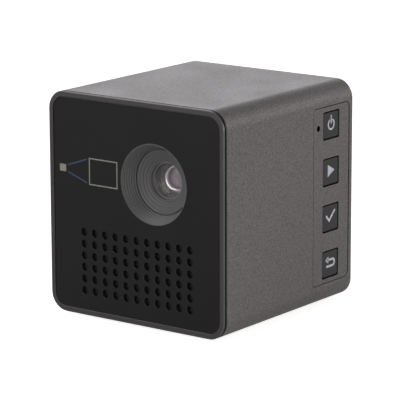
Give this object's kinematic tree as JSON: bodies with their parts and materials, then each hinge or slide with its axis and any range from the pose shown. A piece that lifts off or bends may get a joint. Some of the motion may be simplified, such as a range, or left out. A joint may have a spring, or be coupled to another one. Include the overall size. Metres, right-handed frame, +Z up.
{
  "type": "pocket cube projector",
  "caption": "Battery-powered cube video projector with a front lens and sound grille, side keys, a focus wheel, rear sockets and a tripod thread underneath.",
  "frame": {"origin": "centre of the footprint, on the surface the feet stand on", "axes": "+X to the right seen from the front (towards the keys), +Y from the lens towards the back, +Z up"},
  "size_m": [0.048, 0.049, 0.0506],
  "materials": {
    "sleeve_metal": "bead-blasted grey anodised",
    "bezel_metal": "satin gunmetal",
    "panel_gloss": "gloss black",
    "hood_plastic": "matt black, moulded ridges",
    "barrel_metal": "black anodised",
    "lens_glass": "coated glass",
    "key_plastic": "satin dark grey, printed symbols",
    "smoked_plastic": "smoked clear",
    "cover_plastic": "fine moulded texture",
    "inner_plastic": "moulded",
    "drive_plastic": "moulded acetal",
    "foot_rubber": "matt",
    "insert_brass": "machined",
    "screw_steel": "blackened",
    "axle_steel": "ground",
    "socket_steel": "nickel plated",
    "board": "green circuit board",
    "chip": "moulded chip package",
    "switch_metal": "plated",
    "cloth": "fine acoustic weave",
    "cone_paper": "coated film",
    "magnet": "nickel plated",
    "optic_glass": "clear optical glass",
    "dichroic": "colour-splitting coating",
    "engine_metal": "cast",
    "led": "light-emitting module",
    "fin_metal": "extruded",
    "battery_wrap": "wrapped cell",
    "wire": "sleeved wires",
    "flex": "amber film"
  },
  "bodies": {
    "case": {"sleeve": "sleeve_metal", "front_bezel": "bezel_metal", "front_panel": "panel_gloss", "lens_hood": "hood_plastic", "key_plate": "sleeve_metal", "status_light": "smoked_plastic", "grille_cloth": "cloth", "rear_cover": "cover_plastic", "rear_screws": "screw_steel", "feet": "foot_rubber", "tripod_bush": "insert_brass", "chassis": "inner_plastic", "front_screws": "screw_steel", "focus_well": "cover_plastic", "wheel_axle": "axle_steel", "wheel_clip": "axle_steel", "lens_mount": "engine_metal", "mount_screws": "screw_steel", "key_switches": "switch_metal", "key_board": "board", "key_flex": "flex", "speaker_frame": "inner_plastic", "speaker_cone": "cone_paper", "speaker_magnet": "magnet", "speaker_lead": "wire", "engine_housing": "engine_metal", "engine_lid": "engine_metal", "prisms": "optic_glass", "dichroic_plates": "dichroic", "collimators": "optic_glass", "led_modules": "led", "display_chip": "chip", "chip_board": "board", "heat_sink": "fin_metal", "fan_frame": "inner_plastic", "fan_lead": "wire", "battery": "battery_wrap", "battery_lead": "wire", "main_board": "board", "board_screws": "screw_steel", "board_chips": "chip", "usb_socket": "socket_steel", "audio_jack": "inner_plastic", "card_socket": "socket_steel"},
    "power_button": {"power_key": "key_plastic", "power_plunger": "inner_plastic"},
    "play_button": {"play_key": "key_plastic", "play_plunger": "inner_plastic"},
    "ok_button": {"ok_key": "key_plastic", "ok_plunger": "inner_plastic"},
    "back_button": {"back_key": "key_plastic", "back_plunger": "inner_plastic"},
    "focus_thumbwheel": {"focus_wheel": "drive_plastic"},
    "focus_gear": {"focus_ring": "drive_plastic"},
    "lens_cell": {"lens_barrel": "barrel_metal", "lens_retainer": "barrel_metal", "front_lens": "lens_glass", "middle_lens": "lens_glass", "rear_lens": "lens_glass"},
    "fan": {"fan_rotor": "drive_plastic"}
  },
  "joints": [
    {"name": "power_press", "type": "slide", "parent": "case", "child": "power_button", "axis": [-1, 0, 0], "range_m": [0, 0.0003], "stiffness_N_per_m": 3000},
    {"name": "play_press", "type": "slide", "parent": "case", "child": "play_button", "axis": [-1, 0, 0], "range_m": [0, 0.0003], "stiffness_N_per_m": 3000},
    {"name": "ok_press", "type": "slide", "parent": "case", "child": "ok_button", "axis": [-1, 0, 0], "range_m": [0, 0.0003], "stiffness_N_per_m": 3000},
    {"name": "back_press", "type": "slide", "parent": "case", "child": "back_button", "axis": [-1, 0, 0], "range_m": [0, 0.0003], "stiffness_N_per_m": 3000},
    {"name": "focus_turn", "type": "hinge", "parent": "case", "child": "focus_thumbwheel", "pos_m": [-0.014, -0.014, 0.03265], "axis": [0, 1, 0], "range_deg": [-60, 60]},
    {"name": "ring_turn", "type": "hinge", "parent": "case", "child": "focus_gear", "pos_m": [0.005, -0.014, 0.03265], "axis": [0, 1, 0], "range_deg": [-60, 60]},
    {"name": "lens_slide", "type": "slide", "parent": "case", "child": "lens_cell", "axis": [0, 1, 0], "range_m": [-0.0005, 0.0005]},
    {"name": "fan_spin", "type": "hinge", "parent": "case", "child": "fan", "pos_m": [-0.0085, 0.0185, 0.0316], "axis": [0, 1, 0], "continuous": true}
  ],
  "couplings": [
    {"joint": "focus_turn", "follows": "lens_slide", "rad_per_m": 2000},
    {"joint": "ring_turn", "follows": "lens_slide", "rad_per_m": -2000}
  ]
}
